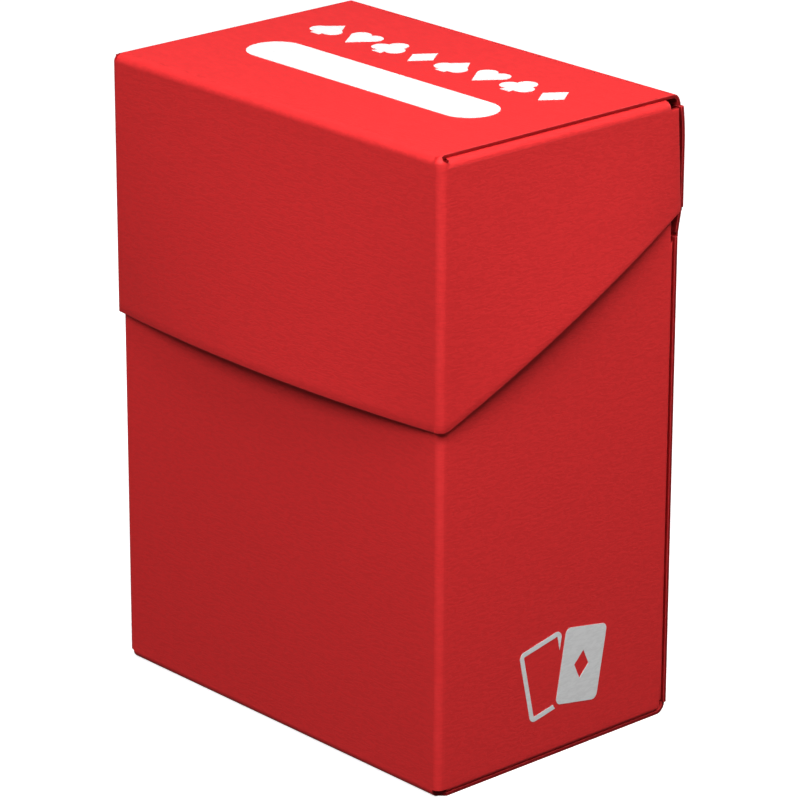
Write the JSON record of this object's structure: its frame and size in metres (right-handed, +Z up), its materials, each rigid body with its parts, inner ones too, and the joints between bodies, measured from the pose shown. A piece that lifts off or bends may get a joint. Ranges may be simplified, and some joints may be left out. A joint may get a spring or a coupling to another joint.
{
  "type": "card deck box",
  "caption": "Upright red plastic deck box for trading cards, folded from creased sheet, with a deep slant-cut flip lid hinged at the back and a loose divider.",
  "frame": {"origin": "middle of the body's footprint, on the surface that the box stands on, below the closed lid", "axes": "+X to the right along the front, +Y from the front to the hinged back, +Z up"},
  "size_m": [0.0758, 0.0508, 0.098],
  "materials": {
    "red_polypropylene": "satin red sheet with a fine embossed leather grain",
    "divider_polypropylene": "satin red sheet with the same grain",
    "white_ink": "flat opaque white print",
    "clear_glue": "thin clear glue film"
  },
  "bodies": {
    "body": {"body_front_panel": "red_polypropylene", "body_left_side_panel": "red_polypropylene", "body_right_side_panel": "red_polypropylene", "body_back_panel": "red_polypropylene", "body_bottom_panel": "red_polypropylene", "body_left_rear_tab": "red_polypropylene", "body_right_rear_tab": "red_polypropylene", "body_left_bottom_tab": "red_polypropylene", "body_right_bottom_tab": "red_polypropylene", "body_rear_tab_glue": "clear_glue", "body_bottom_tab_glue": "clear_glue", "card_pictogram": "white_ink"},
    "hinge": {"hinge_strip": "red_polypropylene"},
    "lid": {"lid_top_panel": "red_polypropylene", "lid_front_panel": "red_polypropylene", "lid_left_side_panel": "red_polypropylene", "lid_right_side_panel": "red_polypropylene", "lid_back_panel": "red_polypropylene", "lid_left_top_tab": "red_polypropylene", "lid_right_top_tab": "red_polypropylene", "lid_top_tab_glue": "clear_glue", "name_strip": "white_ink", "suit_marks": "white_ink"},
    "divider": {"divider": "divider_polypropylene"}
  },
  "joints": [
    {"name": "lid_crease", "type": "hinge", "parent": "hinge", "child": "lid", "pos_m": [0, 0.02435, 0.0804], "axis": [-1, 0, 0], "range_deg": [0, 90]},
    {"name": "body_crease", "type": "hinge", "parent": "body", "child": "hinge", "pos_m": [0, 0.02365, 0.0766], "axis": [-1, 0, 0], "range_deg": [0, 90]},
    {"name": "divider_slide", "type": "slide", "parent": "body", "child": "divider", "axis": [0, 1, 0], "range_m": [-0.038, 0]}
  ],
  "couplings": [
    {"joint": "body_crease", "follows": "lid_crease", "ratio": 1}
  ]
}
